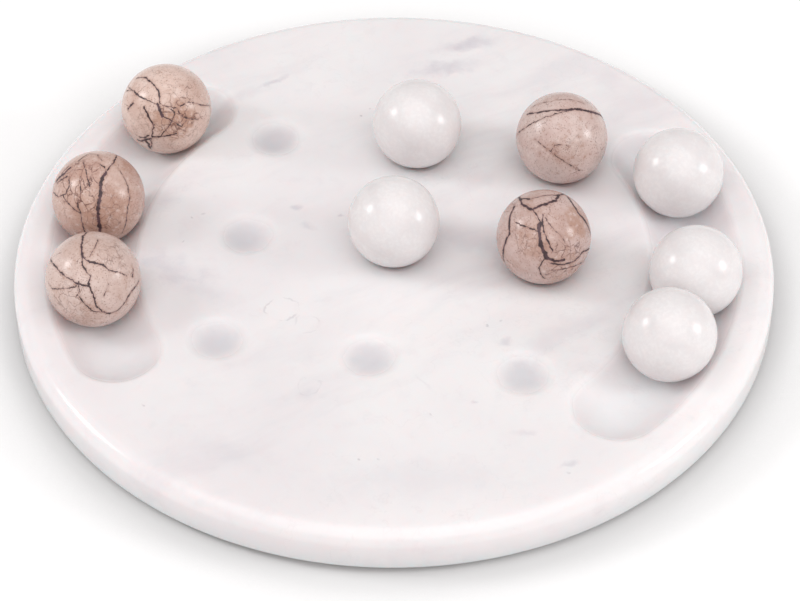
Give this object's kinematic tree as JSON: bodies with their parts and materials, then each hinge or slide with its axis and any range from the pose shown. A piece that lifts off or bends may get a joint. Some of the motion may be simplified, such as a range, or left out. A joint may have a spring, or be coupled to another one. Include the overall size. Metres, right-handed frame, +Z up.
{
  "type": "tic tac toe set",
  "caption": "Round marble board with a grid of dimples and two curved storage troughs, holding loose brown and white marble balls as the playing pieces.",
  "frame": {"origin": "on the table, under the middle of the round board, in the plane of the four felt pads' undersides", "axes": "+X along the grid's rows, towards the trough with the white balls; +Y along its columns, towards the back; +Z up"},
  "size_m": [0.3048, 0.3048, 0.0545],
  "materials": {
    "board_marble": "polished milky white marble with faint grey clouds and specks",
    "brown_marble": "polished pink-brown marble with dark crack-like veins",
    "white_marble": "polished milky white marble with faint warm grey bands",
    "felt": "matt grey felt"
  },
  "bodies": {
    "board_body": {"board": "board_marble", "pad_back_right": "felt", "pad_back_left": "felt", "pad_front_left": "felt", "pad_front_right": "felt"},
    "brown_ball_1_body": {"brown_ball_1": "brown_marble"},
    "brown_ball_2_body": {"brown_ball_2": "brown_marble"},
    "brown_ball_3_body": {"brown_ball_3": "brown_marble"},
    "brown_ball_4_body": {"brown_ball_4": "brown_marble"},
    "brown_ball_5_body": {"brown_ball_5": "brown_marble"},
    "white_ball_1_body": {"white_ball_1": "white_marble"},
    "white_ball_2_body": {"white_ball_2": "white_marble"},
    "white_ball_3_body": {"white_ball_3": "white_marble"},
    "white_ball_4_body": {"white_ball_4": "white_marble"},
    "white_ball_5_body": {"white_ball_5": "white_marble"}
  },
  "joints": [
    {"name": "brown_ball_1_roll", "type": "hinge", "parent": "board_body", "child": "brown_ball_1_body", "pos_m": [0, 0, 0.0198], "axis": [0, 0, 1], "range_deg": [-7, 10.7]},
    {"name": "brown_ball_2_roll", "type": "hinge", "parent": "board_body", "child": "brown_ball_2_body", "pos_m": [0, 0, 0.0198], "axis": [0, 0, 1], "range_deg": [-10.7, 4.7]},
    {"name": "brown_ball_3_roll", "type": "hinge", "parent": "board_body", "child": "brown_ball_3_body", "pos_m": [0, 0, 0.0198], "axis": [0, 0, 1], "range_deg": [-4.7, 13.8]},
    {"name": "white_ball_1_roll", "type": "hinge", "parent": "board_body", "child": "white_ball_1_body", "pos_m": [0, 0, 0.0198], "axis": [0, 0, 1], "range_deg": [-10.1, 10.3]},
    {"name": "white_ball_2_roll", "type": "hinge", "parent": "board_body", "child": "white_ball_2_body", "pos_m": [0, 0, 0.0198], "axis": [0, 0, 1], "range_deg": [0, 10.1]},
    {"name": "white_ball_3_roll", "type": "hinge", "parent": "board_body", "child": "white_ball_3_body", "pos_m": [0, 0, 0.0198], "axis": [0, 0, 1], "range_deg": [-16.4, 0]},
    {"name": "brown_ball_4_lift", "type": "slide", "parent": "board_body", "child": "brown_ball_4_body", "axis": [0, 0, 1], "range_m": [0, 0.04]},
    {"name": "brown_ball_5_lift", "type": "slide", "parent": "board_body", "child": "brown_ball_5_body", "axis": [0, 0, 1], "range_m": [0, 0.04]},
    {"name": "white_ball_4_lift", "type": "slide", "parent": "board_body", "child": "white_ball_4_body", "axis": [0, 0, 1], "range_m": [0, 0.04]},
    {"name": "white_ball_5_lift", "type": "slide", "parent": "board_body", "child": "white_ball_5_body", "axis": [0, 0, 1], "range_m": [0, 0.04]}
  ]
}
